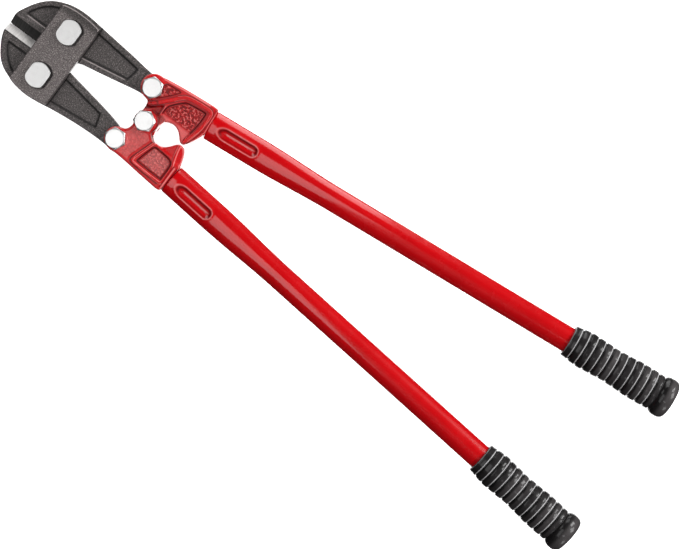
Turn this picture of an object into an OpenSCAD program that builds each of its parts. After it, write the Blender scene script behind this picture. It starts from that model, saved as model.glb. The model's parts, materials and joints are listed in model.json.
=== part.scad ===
// Long-handled bolt cutters: two pivoting jaws between two straps, a compound
// linkage of two forged handle heads, and two tubular handles with ribbed grips.
// The tool lies flat with its jaws shut. +X runs from the jaws to the grips,
// +Z is the thickness of the tool. Working coordinates have the centre bolt at
// x = y = 0 and the middle of the jaws' thickness at z = 0; place() then moves
// everything so that the origin is at the middle of the tool's footprint.

/* [Jaws and straps] */
// Thickness of each forged jaw
jaw_t = 15; // [13:0.5:16]
// Length of the shut jaws, from the centre bolt to the flat nose
jaw_reach = 168.4; // [167:0.2:170]
// Thickness of each strap
strap_t = 8; // [6:0.5:9]
// Edge of the rear strap towards the handles, from the centre bolt
rear_strap_edge = -92.6; // [-95:0.2:-89]
// Distance from the centre bolt back to the jaw pivots
jaw_pivot_x = 112; // [110:0.5:114]
// Sideways distance of each jaw pivot from the middle line
jaw_pivot_y = 26; // [25:0.5:27]
// Diameter of the jaw pivot bolts
strap_bolt_d = 16; // [14:1:18]
// Diameter of the round heads of the jaw pivot bolts
strap_head_d = 26; // [24:1:28]
// Distance between the two flats on those heads
strap_head_flats = 21.6; // [20:0.2:23]
// Height of those heads
strap_head_h = 5.4; // [4:0.2:6]

/* [Linkage heads] */
// Thickness of the forged handle heads
head_t = 28; // [27:0.5:30]
// Distance from the centre bolt back to the link bolts
link_x = 13; // [12.6:0.1:13.4]
// Sideways distance of each link bolt from the middle line
link_y = 31.3; // [31:0.1:31.6]
// Diameter of the link bolts and of the centre bolt
link_bolt_d = 12; // [10:1:12]
// Size across the flats of their hexagon heads
link_af = 20; // [18:0.5:21]
// Height of their hexagon heads
link_head_h = 6.5; // [5:0.5:7]
// Radial play of the centre bolt in the tongue of the upper head
centre_play = 2.3; // [2.1:0.1:2.6]
// Depth of the sunk panels on jaws and heads
panel_depth = 1.4; // [0.8:0.2:2]

/* [Handles] */
// Angle of the upper handle to the middle line
upper_angle = 5.3; // [5:0.1:5.6]
// Angle of the lower handle to the middle line
lower_angle = 5.7; // [5.4:0.1:6]
// Where the upper handle's axis crosses the line of the centre bolt
upper_offset = 31; // [30.5:0.1:31.5]
// Where the lower handle's axis crosses the line of the centre bolt
lower_offset = 25.3; // [25:0.1:25.8]
// Outer diameter of the round part of the tubes
tube_d = 26.6; // [26:0.2:27]
// Wall of the tubes
tube_wall = 2.4; // [2:0.2:3]
// Width of the flattened front end of the tubes
tube_front_w = 31; // [30:0.5:32]
// Thickness of the flattened front end of the tubes
tube_front_h = 22.6; // [22:0.2:24]

/* [Grips] */
// Length of each grip
grip_len = 120; // [116:1:126]
// Start of the upper grip, along the handle
grip_start_u = 471.5; // [465:0.5:475]
// Start of the lower grip, along the handle
grip_start_l = 470; // [465:0.5:475]
// Spacing of the ribs
rib_pitch = 9; // [8.6:0.1:9]
// Radius of the end flange
flange_r = 21; // [20.5:0.1:21]

/* [Hidden] */
$fn = 64;

P1 = [-jaw_pivot_x, jaw_pivot_y];
P2 = [-jaw_pivot_x, -jaw_pivot_y];
Q1 = [-link_x, link_y];
Q2 = [-link_x, -link_y];

jz = jaw_t / 2;
strap_z0 = jz + 0.1;
strap_z1 = strap_z0 + strap_t;
ear_z0 = jz + 0.3;
ear_z1 = head_t / 2;
shank_r = strap_bolt_d / 2;
link_r = link_bolt_d / 2;
edge_gap = 0.15;
head_end = 54.5;            // where head and tube meet, along the handle

// The tool rests on the flanges of the grips
rest_z = -flange_r;
grip_end_r = 15;
x_max = (grip_start_u + grip_len) * cos(upper_angle) + grip_end_r * sin(upper_angle);
y_max = upper_offset + (grip_start_u + grip_len - 6) * sin(upper_angle) + flange_r * cos(upper_angle);
y_min = -lower_offset - (grip_start_l + grip_len - 6) * sin(lower_angle) - flange_r * cos(lower_angle);
mid_x = (x_max - jaw_reach) / 2;
mid_y = (y_max + y_min) / 2;

red = [0.72, 0.02, 0.03];
dark = [0.20, 0.19, 0.19];
steel = [0.82, 0.82, 0.82];
black = [0.05, 0.05, 0.05];

module place() translate([-mid_x, -mid_y, -rest_z]) children();

module slab(z0, z1) translate([0, 0, z0]) linear_extrude(z1 - z0) children();

module both_faces(z, depth)
{
    slab(z - depth, z + 1) children();
    slab(-z - 1, -z + depth) children();
}

module at(p) translate([p[0], p[1], 0]) children();

module upper_axis() translate([0, upper_offset, 0]) rotate([0, 0, upper_angle]) children();
module lower_axis() translate([0, -lower_offset, 0]) rotate([0, 0, -lower_angle]) children();

// ---------- straps ----------

module strap_outline()
    polygon([[-134, 46.3], [-124, 48.6], [-112, 49.2], [-103, 48.9], [-91, 47.2], [-89, 45],
             [-89, -42.5], [-91, -45.5], [-96, -47], [-112, -49], [-127, -47], [-134, -44.5]]);

module strap_solid()
    difference()
    {
        slab(strap_z0, strap_z1) strap_outline();
        at(P1) translate([0, 0, -30]) cylinder(h = 60, r = shank_r);
        at(P2) translate([0, 0, -30]) cylinder(h = 60, r = shank_r);
    }

module front_strap() color(dark) place() strap_solid();
// The rear strap is a little narrower on the side of the handles
module rear_strap() color(dark) place() mirror([0, 0, 1]) difference() {
    strap_solid();
    translate([rear_strap_edge, -60, 0]) cube([20, 120, 40]);
}

// ---------- jaw pivot bolts ----------

module strap_bolt()
{
    intersection()
    {
        translate([0, 0, strap_z1]) cylinder(h = strap_head_h, r = strap_head_d / 2);
        translate([-strap_head_flats / 2, -20, 0]) cube([strap_head_flats, 40, 40]);
    }
    translate([0, 0, -strap_z1 - 5.2]) cylinder(h = 2 * strap_z1 + 5.2, r = shank_r);
}

module hexagon(af, h) cylinder(h = h, r = af / 2 / cos(30), $fn = 6);

module split_washer(r_in, r_out, h)
    difference()
    {
        cylinder(h = h, r = r_out);
        translate([0, 0, -1]) cylinder(h = h + 2, r = r_in);
        translate([0, -0.6, -1]) cube([r_out + 1, 1.2, h + 2]);
    }

module plain_washer(r_in, r_out, h)
    difference()
    {
        cylinder(h = h, r = r_out);
        translate([0, 0, -1]) cylinder(h = h + 2, r = r_in);
    }

module strap_nut()
    difference()
    {
        rotate([0, 0, 30]) hexagon(23, -rest_z - strap_z1 - 1.4);
        translate([0, 0, -1]) cylinder(h = 20, r = shank_r);
    }

module upper_jaw_bolt() color(steel) place() at(P1) strap_bolt();
module lower_jaw_bolt() color(steel) place() at(P2) strap_bolt();
module upper_jaw_washer() color(steel) place() at(P1) translate([0, 0, -strap_z1 - 1.4]) plain_washer(shank_r, 12.6, 1.4);
module lower_jaw_washer() color(steel) place() at(P2) translate([0, 0, -strap_z1 - 1.4]) plain_washer(shank_r, 12.6, 1.4);
module upper_jaw_nut() color(steel) place() at(P1) translate([0, 0, rest_z]) strap_nut();
module lower_jaw_nut() color(steel) place() at(P2) translate([0, 0, rest_z]) strap_nut();

// ---------- jaws ----------

// The cutting edge: both faces slope down to a thin edge on the middle plane
module edge_bevels(side)
    for (s = [-1, 1])
        translate([-180, 0, 0]) rotate([90, 0, 90]) linear_extrude(44)
            polygon([[side * -1, s * 0.25], [side * 0.15, s * 0.25], [side * 8.6, s * (jz - 0.6)], [side * 8.6, s * (jz + 2)], [side * -1, s * (jz + 2)]]);

module upper_jaw_outline()
    polygon([[-jaw_reach, edge_gap], [-jaw_reach, 10], [-165.4, 18], [-160.4, 27], [-155.4, 34], [-150, 39.5],
             [-143, 44.5], [-135, 48], [-125, 51], [-112, 52], [-100, 51.2], [-90, 50], [-75, 48.5],
             [-60, 47], [-50, 46], [-35, 44], [-22, 42.6], [-13, 42.3], [-13, 20.3], [-20, 20.7],
             [-30, 19.5], [-50, 15.5], [-60, 13.5], [-80, 10], [-88, 8.6], [-97, 3.2], [-112, edge_gap]]);

module lower_jaw_outline()
    polygon([[-jaw_reach, -edge_gap], [-jaw_reach, -9], [-164.6, -19], [-160.4, -26], [-155.4, -33], [-150, -38],
             [-145, -41], [-139, -43.6], [-130, -46.8], [-122, -48.5], [-112, -49.2], [-100, -48.2], [-90, -46.5],
             [-80, -45], [-60, -43], [-45, -42], [-30, -41.6], [-20, -42], [-13, -42.3], [-13, -20.3], [-19, -18.6],
             [-30, -15.5], [-50, -11.6], [-60, -10], [-80, -6.6], [-88, -5.2], [-97, -3.2], [-112, -edge_gap]]);

module upper_jaw_body()
    difference()
    {
        union()
        {
            slab(-jz, jz) upper_jaw_outline();
            at(Q1) translate([0, 0, -jz]) cylinder(h = jaw_t, r = 11.3);
        }
        edge_bevels(1);
        // sunk panels of nose and arm
        both_faces(jz, panel_depth)
            polygon([[-136, 18], [-158, 18], [-157, 22], [-152, 30], [-146, 36], [-140, 39.6], [-136, 41]]);
        both_faces(jz, panel_depth)
            polygon([[-86, 43.2], [-38.5, 38.4], [-36.6, 36.5], [-39, 23.4], [-41, 22.6], [-86, 15.4]]);
        at(P1) translate([0, 0, -20]) cylinder(h = 40, r = shank_r + 0.05);
        at(Q1) translate([0, 0, -20]) cylinder(h = 40, r = link_r + 0.05);
    }

module lower_jaw_body()
    difference()
    {
        union()
        {
            slab(-jz, jz) lower_jaw_outline();
            at(Q2) translate([0, 0, -jz]) cylinder(h = jaw_t, r = 11.3);
        }
        edge_bevels(-1);
        both_faces(jz, panel_depth)
            polygon([[-136, -15.8], [-157, -15.8], [-156, -20], [-150, -28.5], [-143, -34.5], [-136, -38]]);
        both_faces(jz, panel_depth)
            polygon([[-86, -12.6], [-41.5, -19.6], [-40, -21.4], [-36.6, -34.2], [-86, -39.6]]);
        at(P2) translate([0, 0, -20]) cylinder(h = 40, r = shank_r + 0.05);
        at(Q2) translate([0, 0, -20]) cylinder(h = 40, r = link_r + 0.05);
    }

module upper_jaw() color(dark) place() upper_jaw_body();
module lower_jaw() color(dark) place() lower_jaw_body();

// ---------- handle heads ----------

// A flat tongue inside the flattened front end of the tube
module tang() translate([head_end - 1, -9, -5.5]) cube([60, 18, 11]);

module upper_head_outline()
{
    at(Q1 + [0, 1.5]) circle(r = 13.5);
    polygon([[-13, 46.3], [0, 48.3], [17, 50.4], [49, 53], [51.8, 52], [52.8, 50], [55.4, 23.5],
             [52, 14], [48, 7], [45, 3.9], [42, 3], [39, 4.7], [36, 8.2], [32, 12], [26, 14.4], [20, 13.6], [15.6, 10.6],
             [13.6, 13.6], [7, 14.4], [6.4, 19], [-9, 19.4], [-13, 20.6]]);
}

module upper_tongue_outline()
{
    circle(r = 11);
    polygon([[-9, 6], [-9, 19.3], [7, 22], [15.6, 16], [15.6, 10.6], [13.8, 6], [13.2, 2], [14.4, -3.4], [17.4, -7], [12, -8], [0, -4]]);
}

module upper_head_body()
    difference()
    {
        union()
        {
            difference()
            {
                slab(-ear_z1, ear_z1) upper_head_outline();
                // slot between the two ears, for the tail of the jaw
                slab(-ear_z0, ear_z0) at(Q1)
                {
                    circle(r = 12);
                    for (a = [130 : 12 : 190]) rotate(a) translate([0, -12.4]) square([30, 24.8]);
                }
                both_faces(ear_z1, panel_depth)
                    polygon([[9, 17], [8.5, 24.5], [14.5, 32.5], [21.5, 39.5], [29, 41.8], [43.6, 43], [45, 41], [45.6, 25], [40, 18], [32, 17], [20, 18]]);
            }
            slab(-jz, jz) upper_tongue_outline();
            upper_axis() tang();
        }
        translate([0, 0, -30]) cylinder(h = 60, r = link_r + centre_play);
        at(Q1) translate([0, 0, -30]) cylinder(h = 60, r = link_r);
    }

module lower_head_outline()
{
    circle(r = 11.4);
    at(Q2 + [0, 0.6]) circle(r = 12.2);
    polygon([[-8.4, -7], [-8, -11], [-9.4, -15], [-12, -18], [-14, -19], [-13, -43], [0, -42.9], [20, -45], [49, -47.7],
             [51.4, -47], [52.8, -45], [55.4, -18], [52, -6], [49, 0], [46, 1.6], [42, 2.2], [38, -1], [35, -5],
             [31, -9.4], [26, -11.4], [21, -10.8], [14, -8], [10.6, -4]]);
}

module lower_head_body()
    difference()
    {
        union()
        {
            difference()
            {
                slab(-ear_z1, ear_z1) lower_head_outline();
                // one open slot takes the tail of the jaw and the tongue of the other head
                slab(-ear_z0, ear_z0)
                    polygon([[-40, 20], [20.6, 20], [20.6, -10.6], [15, -14], [8, -20], [3, -31], [1, -56], [-40, -56]]);
                both_faces(ear_z1, panel_depth)
                    polygon([[22.5, -14], [16.4, -35.6], [18, -36.8], [46, -38], [47, -36], [47, -20], [42.6, -15.6]]);
            }
            lower_axis() tang();
        }
        translate([0, 0, -30]) cylinder(h = 60, r = link_r);
        at(Q2) translate([0, 0, -30]) cylinder(h = 60, r = link_r);
    }

module upper_head() color(red) place() upper_head_body();
module lower_head() color(red) place() lower_head_body();

// ---------- link bolts and centre bolt ----------

module hex_bolt()
{
    translate([0, 0, ear_z1]) hexagon(link_af, link_head_h);
    translate([0, 0, -ear_z1 - 6.6]) cylinder(h = 2 * ear_z1 + 6.6, r = link_r);
}

module hex_nut()
    difference()
    {
        hexagon(link_af - 1, 4.8);
        translate([0, 0, -1]) cylinder(h = 10, r = link_r);
    }

module link_washer() translate([0, 0, -ear_z1 - 1.8]) split_washer(link_r, 9.6, 1.8);
module link_nut() translate([0, 0, -ear_z1 - 6.6]) hex_nut();

module upper_link_bolt() color(steel) place() at(Q1) rotate([0, 0, -7]) hex_bolt();
module upper_link_washer() color(steel) place() at(Q1) rotate([0, 0, 100]) link_washer();
module upper_link_nut() color(steel) place() at(Q1) rotate([0, 0, 12]) link_nut();
module lower_link_bolt() color(steel) place() at(Q2) rotate([0, 0, 4]) hex_bolt();
module lower_link_washer() color(steel) place() at(Q2) rotate([0, 0, 200]) link_washer();
module lower_link_nut() color(steel) place() at(Q2) rotate([0, 0, 41]) link_nut();
module centre_bolt() color(steel) place() rotate([0, 0, 30]) hex_bolt();
module centre_washer() color(steel) place() rotate([0, 0, 310]) link_washer();
module centre_nut() color(steel) place() rotate([0, 0, 5]) link_nut();

// ---------- tubes ----------

// Half width and half thickness of the tube at a distance x along the handle:
// flattened at the front, round from x = 200 on
function blend_in(x) = x < 110 ? 0 : x > 200 ? 1 : (1 - cos((x - 110) * 2)) / 2;
function half_w(x) = tube_front_w / 2 + (tube_d - tube_front_w) / 2 * blend_in(x);
function half_h(x) = tube_front_h / 2 + (tube_d - tube_front_h) / 2 * blend_in(x);

tube_sides = 48;

module tube_body(end)
{
    stations = concat([head_end], [for (x = [110 : 10 : 200]) x], [end]);
    n = len(stations);
    m = tube_sides;
    // ring 0 is the outside, ring 1 the bore
    points = [for (k = [0, 1]) for (x = stations) for (j = [0 : m - 1])
              [x, (half_w(x) - k * tube_wall) * cos(j * 360 / m), (half_h(x) - k * tube_wall) * sin(j * 360 / m)]];
    function id(k, i, j) = k * n * m + i * m + j % m;
    faces = concat(
        [for (i = [0 : n - 2]) for (j = [0 : m - 1]) [id(0, i, j), id(0, i + 1, j), id(0, i + 1, j + 1)]],
        [for (i = [0 : n - 2]) for (j = [0 : m - 1]) [id(0, i, j), id(0, i + 1, j + 1), id(0, i, j + 1)]],
        [for (i = [0 : n - 2]) for (j = [0 : m - 1]) [id(1, i, j), id(1, i + 1, j + 1), id(1, i + 1, j)]],
        [for (i = [0 : n - 2]) for (j = [0 : m - 1]) [id(1, i, j), id(1, i, j + 1), id(1, i + 1, j + 1)]],
        [for (j = [0 : m - 1]) [id(0, 0, j), id(0, 0, j + 1), id(1, 0, j + 1)]],
        [for (j = [0 : m - 1]) [id(0, 0, j), id(1, 0, j + 1), id(1, 0, j)]],
        [for (j = [0 : m - 1]) [id(0, n - 1, j), id(1, n - 1, j + 1), id(0, n - 1, j + 1)]],
        [for (j = [0 : m - 1]) [id(0, n - 1, j), id(1, n - 1, j), id(1, n - 1, j + 1)]]);
    polyhedron(points, faces);
}

module upper_tube() color(red) place() upper_axis() tube_body(grip_start_u + grip_len - 8);
module lower_tube() color(red) place() lower_axis() tube_body(grip_start_l + grip_len - 8);

// ---------- grips ----------

// Radius of the grip between the ribs, swelling twice for the two fingers' rests
function grip_r(t) = 17.6 + 0.6 * t / 98 + 0.8 * sin(t / 98 * 620 - 60);

module grip_profile()
    polygon(concat(
        [[tube_d / 2, 0], [16.2, 0], [16.8, 0.8], [16.8, 6]],
        [for (i = [0 : 9]) for (k = [0 : 3])
            let (t = 8 + i * rib_pitch + [0.4, 1.6, 6.8, 8][k])
            [grip_r(t) + [-0.8, 0.4, 0.4, -0.8][k], t]],
        [[18, grip_len - 19], [flange_r - 0.8, grip_len - 17.6], [flange_r, grip_len - 16.4], [flange_r, grip_len - 6],
         [flange_r - 1, grip_len - 3], [flange_r - 3, grip_len - 1], [grip_end_r, grip_len], [0, grip_len],
         [0, grip_len - 7.8], [tube_d / 2, grip_len - 7.8]]));

module grip_body(start) translate([start, 0, 0]) rotate([0, 90, 0]) rotate_extrude() grip_profile();

module upper_grip() color(black) place() upper_axis() grip_body(grip_start_u);
module lower_grip() color(black) place() lower_axis() grip_body(grip_start_l);

// ---------- drawing ----------

front_strap();
rear_strap();
upper_jaw_bolt();
lower_jaw_bolt();
upper_jaw_washer();
lower_jaw_washer();
upper_jaw_nut();
lower_jaw_nut();
upper_jaw();
lower_jaw();
upper_head();
lower_head();
upper_tube();
lower_tube();
upper_grip();
lower_grip();
upper_link_bolt();
upper_link_washer();
upper_link_nut();
lower_link_bolt();
lower_link_washer();
lower_link_nut();
centre_bolt();
centre_washer();
centre_nut();
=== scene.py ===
import bpy
import json
import math
import numpy as np
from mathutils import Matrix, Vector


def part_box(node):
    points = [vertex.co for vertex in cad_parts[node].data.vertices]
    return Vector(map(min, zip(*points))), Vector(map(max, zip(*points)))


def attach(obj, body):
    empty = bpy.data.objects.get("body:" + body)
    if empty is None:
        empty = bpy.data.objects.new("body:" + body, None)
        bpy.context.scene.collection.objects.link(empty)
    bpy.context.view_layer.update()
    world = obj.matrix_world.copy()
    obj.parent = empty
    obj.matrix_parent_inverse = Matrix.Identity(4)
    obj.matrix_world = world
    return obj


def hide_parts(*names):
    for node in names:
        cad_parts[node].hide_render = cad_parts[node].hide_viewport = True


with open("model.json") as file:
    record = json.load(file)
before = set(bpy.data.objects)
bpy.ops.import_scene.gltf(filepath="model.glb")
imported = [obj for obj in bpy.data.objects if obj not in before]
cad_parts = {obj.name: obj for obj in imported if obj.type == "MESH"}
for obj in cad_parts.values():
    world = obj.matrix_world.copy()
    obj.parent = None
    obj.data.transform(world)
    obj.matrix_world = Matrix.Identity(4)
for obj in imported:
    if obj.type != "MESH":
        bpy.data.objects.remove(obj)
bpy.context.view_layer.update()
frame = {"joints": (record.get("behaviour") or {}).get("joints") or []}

# ---------------------------------------------------------------- the shared frame
# Working units are millimetres from the centre bolt, z = 0 in the middle of the jaws.
_lo, _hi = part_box("centre_bolt")
CX, CY = (_lo.x + _hi.x) * 500, (_lo.y + _hi.y) * 500
_lo, _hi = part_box("upper_jaw")
CZ = (_lo.z + _hi.z) * 500
JOINT = {j["name"]: j for j in frame["joints"]}


def pivot(name):
    p = JOINT[name]["pos_m"]
    return np.array([p[0] * 1000 - CX, p[1] * 1000 - CY])


P1, P2 = pivot("upper_jaw_pivot"), pivot("lower_jaw_pivot")
Q1, Q2 = pivot("upper_link_pivot"), pivot("lower_link_pivot")
C = np.array([0.0, 0.0])
UPPER = (31.0, math.radians(5.3))      # offset and angle of the upper handle's axis
LOWER = (-25.3, math.radians(-5.7))

# ---------------------------------------------------------------- fields


def poly(x, y, pts):
    """Signed distance to a closed outline, negative inside."""
    shape = np.broadcast(x, y).shape
    d = np.full(shape, 1e12)
    s = np.ones(shape)
    n = len(pts)
    for i in range(n):
        ax, ay = pts[i]
        bx, by = pts[i - 1]
        ex, ey = bx - ax, by - ay
        l2 = ex * ex + ey * ey
        if l2 < 1e-12:
            continue
        wx, wy = x - ax, y - ay
        t = np.clip((wx * ex + wy * ey) / l2, 0, 1)
        dx, dy = wx - ex * t, wy - ey * t
        d = np.minimum(d, dx * dx + dy * dy)
        c1, c2, c3 = y >= ay, y < by, ex * wy > ey * wx
        s = np.where((c1 & c2 & c3) | (~c1 & ~c2 & ~c3), -s, s)
    return s * np.sqrt(d)


def path(x, y, pts):
    """Distance to an open line."""
    d = np.full(np.broadcast(x, y).shape, 1e12)
    for (ax, ay), (bx, by) in zip(pts[:-1], pts[1:]):
        ex, ey = bx - ax, by - ay
        wx, wy = x - ax, y - ay
        t = np.clip((wx * ex + wy * ey) / (ex * ex + ey * ey), 0, 1)
        d = np.minimum(d, (wx - ex * t) ** 2 + (wy - ey * t) ** 2)
    return np.sqrt(d)


def soften(pts, n=2):
    """Cuts the corners of a closed outline; a doubled point stays a corner."""
    p = [tuple(map(float, q)) for q in pts]
    for _ in range(n):
        q = []
        for i in range(len(p)):
            a, b = p[i], p[(i + 1) % len(p)]
            if a == b:
                q.append(a)
                continue
            q.append((a[0] * .75 + b[0] * .25, a[1] * .75 + b[1] * .25))
            q.append((a[0] * .25 + b[0] * .75, a[1] * .25 + b[1] * .75))
        p = q
    return p


def soft_path(pts, n=2):
    p = [tuple(map(float, q)) for q in pts]
    for _ in range(n):
        q = [p[0]]
        for a, b in zip(p[:-1], p[1:]):
            q.append((a[0] * .75 + b[0] * .25, a[1] * .75 + b[1] * .25))
            q.append((a[0] * .25 + b[0] * .75, a[1] * .25 + b[1] * .75))
        q.append(p[-1])
        p = q
    return p


def circle(x, y, c, r):
    return np.sqrt((x - c[0]) ** 2 + (y - c[1]) ** 2) - r


def rmax(a, b, r):
    return np.minimum(np.maximum(a, b), -r) + np.sqrt(np.maximum(a + r, 0) ** 2 + np.maximum(b + r, 0) ** 2)


def rmin(a, b, r):
    return -rmax(-a, -b, r)


def ss(t):
    t = np.clip(t, 0, 1)
    return t * t * (3 - 2 * t)


def _hash(i, j, seed):
    n = (i * 374761393 + j * 668265263 + seed * 1442695041) & 0xffffffff
    n = ((n ^ (n >> 13)) * 1274126177) & 0xffffffff
    return ((n ^ (n >> 16)) & 0xffff) / 65535.0


def grainy(x, y, size, seed):
    """Smooth value noise between -1 and 1."""
    u, v = np.broadcast_arrays(x / size, y / size)
    i, j = np.floor(u).astype(np.int64), np.floor(v).astype(np.int64)
    fu, fv = ss(u - i), ss(v - j)
    a, b = _hash(i, j, seed), _hash(i + 1, j, seed)
    c, d = _hash(i, j + 1, seed), _hash(i + 1, j + 1, seed)
    return ((a * (1 - fu) + b * fu) * (1 - fv) + (c * (1 - fu) + d * fu) * fv) * 2 - 1


def cast(x, y, seed):
    return 0.6 * grainy(x + .7 * y, y - .5 * x, 3.4, seed) + 0.4 * grainy(x - .3 * y, y + .6 * x, 1.7, seed + 7)


# ---------------------------------------------------------------- meshing


def surface(field, lo, hi, h):
    """A closed quad mesh of the surface field = 0: one vertex a cell, then moved onto the surface."""
    k0 = np.floor(np.array(lo) / h).astype(int) - 1
    k1 = np.ceil(np.array(hi) / h).astype(int) + 1
    ax = [h * np.arange(k0[i], k1[i] + 1) for i in range(3)]
    V = field(ax[0][:, None, None], ax[1][None, :, None], ax[2][None, None, :])
    n = [len(a) for a in ax]
    V = np.ascontiguousarray(np.broadcast_to(V, n)).astype(np.float64)
    ins = V < 0
    corner = [(a, b, c) for a in (0, 1) for b in (0, 1) for c in (0, 1)]
    cut = lambda A, o: A[o[0]:n[0] - 1 + o[0], o[1]:n[1] - 1 + o[1], o[2]:n[2] - 1 + o[2]]
    some = np.zeros([m - 1 for m in n], bool)
    all_ = np.ones([m - 1 for m in n], bool)
    for o in corner:
        some |= cut(ins, o)
        all_ &= cut(ins, o)
    act = some & ~all_
    idx = np.full(act.shape, -1, np.int64)
    idx[act] = np.arange(act.sum())
    cell = np.argwhere(act)
    acc, cnt = np.zeros((len(cell), 3)), np.zeros(len(cell))
    for i, a in enumerate(corner):
        for b in corner[i + 1:]:
            if sum(abs(a[k] - b[k]) for k in range(3)) != 1:
                continue
            va, vb = cut(V, a)[act], cut(V, b)[act]
            x = (va < 0) != (vb < 0)
            t = np.where(x, va / np.where(x, va - vb, 1), 0)[:, None]
            p = np.array(a, float) + t * (np.array(b, float) - np.array(a, float))
            acc += p * x[:, None]
            cnt += x
    pos = (cell + acc / cnt[:, None] + k0) * h
    faces = []
    for axis in range(3):
        u, v = (axis + 1) % 3, (axis + 2) % 3
        s0, s1 = [slice(None)] * 3, [slice(None)] * 3
        s0[axis], s1[axis] = slice(0, n[axis] - 1), slice(1, n[axis])
        e0, e1 = ins[tuple(s0)], ins[tuple(s1)]
        for flip, e in ((False, e0 & ~e1), (True, ~e0 & e1)):
            q = np.argwhere(e)
            q = q[(q[:, u] > 0) & (q[:, v] > 0) & (q[:, u] < n[u] - 1) & (q[:, v] < n[v] - 1)]
            loop = []
            for du, dv in ((1, 1), (0, 1), (0, 0), (1, 0)):
                c = q.copy()
                c[:, u] -= du
                c[:, v] -= dv
                loop.append(idx[c[:, 0], c[:, 1], c[:, 2]])
            f = np.stack(loop[::-1] if flip else loop, 1)
            faces.append(f)
    faces = np.concatenate(faces)
    e = 0.02
    f3 = lambda p: field(p[:, 0], p[:, 1], p[:, 2])
    for _ in range(3):
        f = f3(pos)
        g = np.stack([(f3(pos + d) - f) / e for d in np.eye(3) * e], 1)
        g2 = np.maximum((g * g).sum(1), 0.05)
        step = (f / g2)[:, None] * g
        m = np.sqrt((step ** 2).sum(1))
        pos -= step * np.minimum(1, 0.45 * h / np.maximum(m, 1e-9))[:, None]
    e = 0.08
    g = np.stack([f3(pos + d) - f3(pos - d) for d in np.eye(3) * e], 1)
    nor = g / np.maximum(np.sqrt((g * g).sum(1)), 1e-9)[:, None]
    return pos, faces, nor


def place(p):
    return (np.asarray(p, float) + [CX, CY, CZ]) / 1000


def on_axis(p, side):
    """From a handle's own frame (x along the handle) to the working frame."""
    off, a = side
    p = np.asarray(p, float)
    return np.stack([p[:, 0] * math.cos(a) - p[:, 1] * math.sin(a),
                     off + p[:, 0] * math.sin(a) + p[:, 1] * math.cos(a), p[:, 2]], 1)


def make(name, pos, faces, mats, body, node, nor=None, pick=None, attrs=None):
    me = bpy.data.meshes.new(name)
    me.from_pydata(place(pos).tolist(), [], faces.tolist() if hasattr(faces, "tolist") else faces)
    me.validate()
    me.update()
    for m in mats:
        me.materials.append(m)
    me.polygons.foreach_set("use_smooth", [True] * len(me.polygons))
    if pick is not None and len(mats) > 1:
        mid = np.zeros(len(me.polygons) * 3)
        me.polygons.foreach_get("center", mid)
        mid = mid.reshape(-1, 3) * 1000 - [CX, CY, CZ]
        me.polygons.foreach_set("material_index", pick(mid).astype(np.int32))
    for key, val in (attrs or {}).items():
        a = me.attributes.new(key, "FLOAT", "POINT")
        a.data.foreach_set("value", np.asarray(val, np.float32))
    if nor is not None and len(nor) == len(me.vertices):
        me.normals_split_custom_set_from_vertices(np.asarray(nor, float).tolist())
    ob = bpy.data.objects.new(name, me)
    bpy.context.scene.collection.objects.link(ob)
    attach(ob, body)
    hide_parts(node)
    return ob


# ---------------------------------------------------------------- materials


def nodes_of(name):
    m = bpy.data.materials.new(name)
    m.use_nodes = True
    nt = m.node_tree
    nt.nodes.clear()
    out = nt.nodes.new("ShaderNodeOutputMaterial")
    b = nt.nodes.new("ShaderNodeBsdfPrincipled")
    nt.links.new(b.outputs[0], out.inputs[0])
    tc = nt.nodes.new("ShaderNodeTexCoord")
    return m, nt, b, tc.outputs["Object"]


def noise(nt, vec, scale, detail=3.0, rough=0.5, stretch=None):
    if stretch:
        mp = nt.nodes.new("ShaderNodeMapping")
        mp.inputs["Scale"].default_value = stretch
        nt.links.new(vec, mp.inputs["Vector"])
        vec = mp.outputs[0]
    n = nt.nodes.new("ShaderNodeTexNoise")
    n.inputs["Scale"].default_value = scale
    n.inputs["Detail"].default_value = detail
    n.inputs["Roughness"].default_value = rough
    nt.links.new(vec, n.inputs["Vector"])
    return n.outputs["Fac"]


def ramp(nt, fac, stops):
    r = nt.nodes.new("ShaderNodeValToRGB")
    e = r.color_ramp.elements
    while len(e) < len(stops):
        e.new(0.5)
    for i, (p, c) in enumerate(stops):
        e[i].position = p
        e[i].color = (*c, 1) if len(c) == 3 else c
    nt.links.new(fac, r.inputs["Fac"])
    return r.outputs["Color"]


def span(nt, fac, a, b, lo, hi):
    m = nt.nodes.new("ShaderNodeMapRange")
    m.inputs["From Min"].default_value = a
    m.inputs["From Max"].default_value = b
    m.inputs["To Min"].default_value = lo
    m.inputs["To Max"].default_value = hi
    nt.links.new(fac, m.inputs["Value"])
    return m.outputs[0]


def mix(nt, fac, a, b):
    m = nt.nodes.new("ShaderNodeMix")
    m.data_type = "RGBA"
    nt.links.new(fac, m.inputs[0])
    for s, v in ((m.inputs[6], a), (m.inputs[7], b)):
        if isinstance(v, tuple):
            s.default_value = (*v, 1)
        else:
            nt.links.new(v, s)
    return m.outputs[2]


def bump(nt, bsdf, height, dist, strength=1.0):
    b = nt.nodes.new("ShaderNodeBump")
    b.inputs["Strength"].default_value = strength
    b.inputs["Distance"].default_value = dist
    nt.links.new(height, b.inputs["Height"])
    nt.links.new(b.outputs[0], bsdf.inputs["Normal"])


def attr(nt, name):
    a = nt.nodes.new("ShaderNodeAttribute")
    a.attribute_name = name
    return a.outputs["Fac"]


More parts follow.
